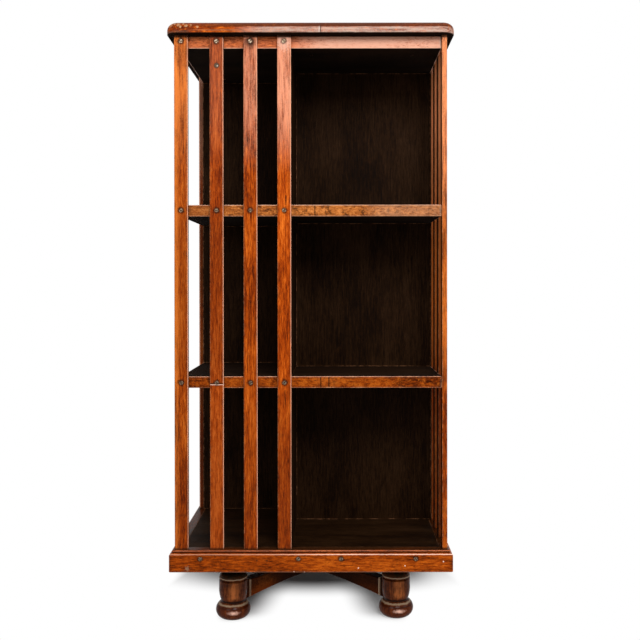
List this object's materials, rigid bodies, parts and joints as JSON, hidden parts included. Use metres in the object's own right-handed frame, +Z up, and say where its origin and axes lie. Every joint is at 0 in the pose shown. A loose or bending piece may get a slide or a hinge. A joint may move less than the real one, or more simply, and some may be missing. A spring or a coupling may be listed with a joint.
{
  "type": "revolving bookcase",
  "caption": "Square slatted wooden bookcase with open bays on every side, which turns on a fixed cross-shaped base with turned feet.",
  "frame": {"origin": "on the floor, on the upright axis that the case turns about", "axes": "+Z up; the front face looks along -Y, with its slats at the -X side; +X to the right seen from the front"},
  "size_m": [0.527, 0.527, 1.121],
  "materials": {
    "case_wood": "worn varnish",
    "slat_wood": "glossy worn varnish",
    "base_wood": "glossy dark varnish",
    "spindle_steel": "dull",
    "bearing_iron": "rough",
    "screw_steel": "tarnished"
  },
  "bodies": {
    "base": {"cross_bar_lower": "base_wood", "cross_bar_upper": "base_wood", "foot_front_left": "base_wood", "foot_front_right": "base_wood", "foot_back_right": "base_wood", "foot_back_left": "base_wood", "hub_block": "base_wood", "spindle_socket": "bearing_iron", "socket_screws": "screw_steel", "spindle": "spindle_steel"},
    "case": {"bottom_board": "case_wood", "plinth_front": "case_wood", "plinth_right": "case_wood", "plinth_back": "case_wood", "plinth_left": "case_wood", "shelf_lower": "case_wood", "shelf_upper": "case_wood", "inner_top": "case_wood", "top_board": "case_wood", "slat_front_1": "slat_wood", "slat_front_2": "slat_wood", "slat_front_3": "slat_wood", "slat_front_4": "slat_wood", "slat_right_1": "slat_wood", "slat_right_2": "slat_wood", "slat_right_3": "slat_wood", "slat_right_4": "slat_wood", "slat_back_1": "slat_wood", "slat_back_2": "slat_wood", "slat_back_3": "slat_wood", "slat_back_4": "slat_wood", "slat_left_1": "slat_wood", "slat_left_2": "slat_wood", "slat_left_3": "slat_wood", "slat_left_4": "slat_wood", "divider_lower_front": "case_wood", "divider_lower_right": "case_wood", "divider_lower_back": "case_wood", "divider_lower_left": "case_wood", "divider_middle_front": "case_wood", "divider_middle_right": "case_wood", "divider_middle_back": "case_wood", "divider_middle_left": "case_wood", "divider_upper_front": "case_wood", "divider_upper_right": "case_wood", "divider_upper_back": "case_wood", "divider_upper_left": "case_wood", "guide_bush": "bearing_iron", "pivot_cup": "bearing_iron", "slat_screws_front": "screw_steel", "slat_screws_right": "screw_steel", "slat_screws_back": "screw_steel", "slat_screws_left": "screw_steel", "plinth_screws": "screw_steel", "bush_screws": "screw_steel", "cup_screws": "screw_steel", "top_screws": "screw_steel"}
  },
  "joints": [
    {"name": "case_turn", "type": "hinge", "parent": "base", "child": "case", "pos_m": [0, 0, 1.07], "axis": [0, 0, 1], "continuous": true}
  ]
}
